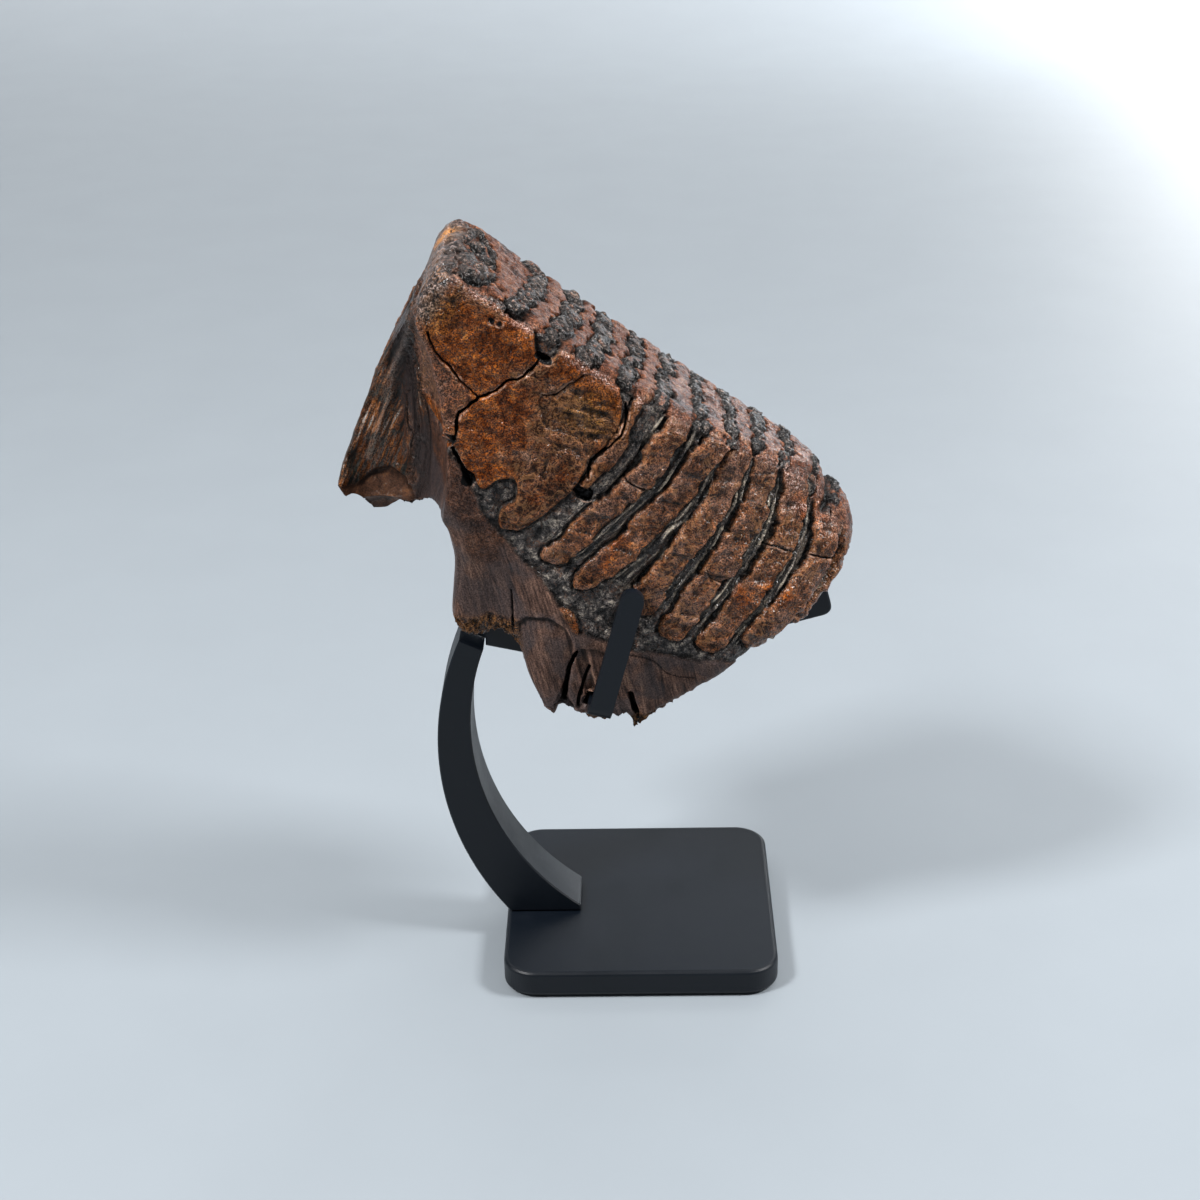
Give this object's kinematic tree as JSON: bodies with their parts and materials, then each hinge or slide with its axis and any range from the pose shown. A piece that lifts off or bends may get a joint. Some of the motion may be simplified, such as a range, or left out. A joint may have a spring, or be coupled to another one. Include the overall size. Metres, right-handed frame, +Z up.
{
  "type": "fossil mammoth tooth on a display stand",
  "caption": "Fossil mammoth molar with worn ridged crown and broken roots, held crown up in a black steel cradle on a curved upright and square base.",
  "frame": {"origin": "centre of the underside of the felt under the square base", "axes": "+Z up; +X to the right, along the tooth from the broken front root to the least worn end; +Y away from the front"},
  "size_m": [0.1793, 0.1, 0.2685],
  "materials": {
    "fossil_tooth": "satin",
    "black_steel": "satin",
    "felt": "matte",
    "zinc_steel": "satin"
  },
  "bodies": {
    "root": {"tooth": "fossil_tooth", "base_plate": "black_steel", "felt_pad": "felt", "upright": "black_steel", "cradle_bar": "black_steel", "front_finger": "black_steel", "rear_finger": "black_steel", "foot_screw_1": "zinc_steel", "foot_screw_2": "zinc_steel"}
  },
  "joints": []
}
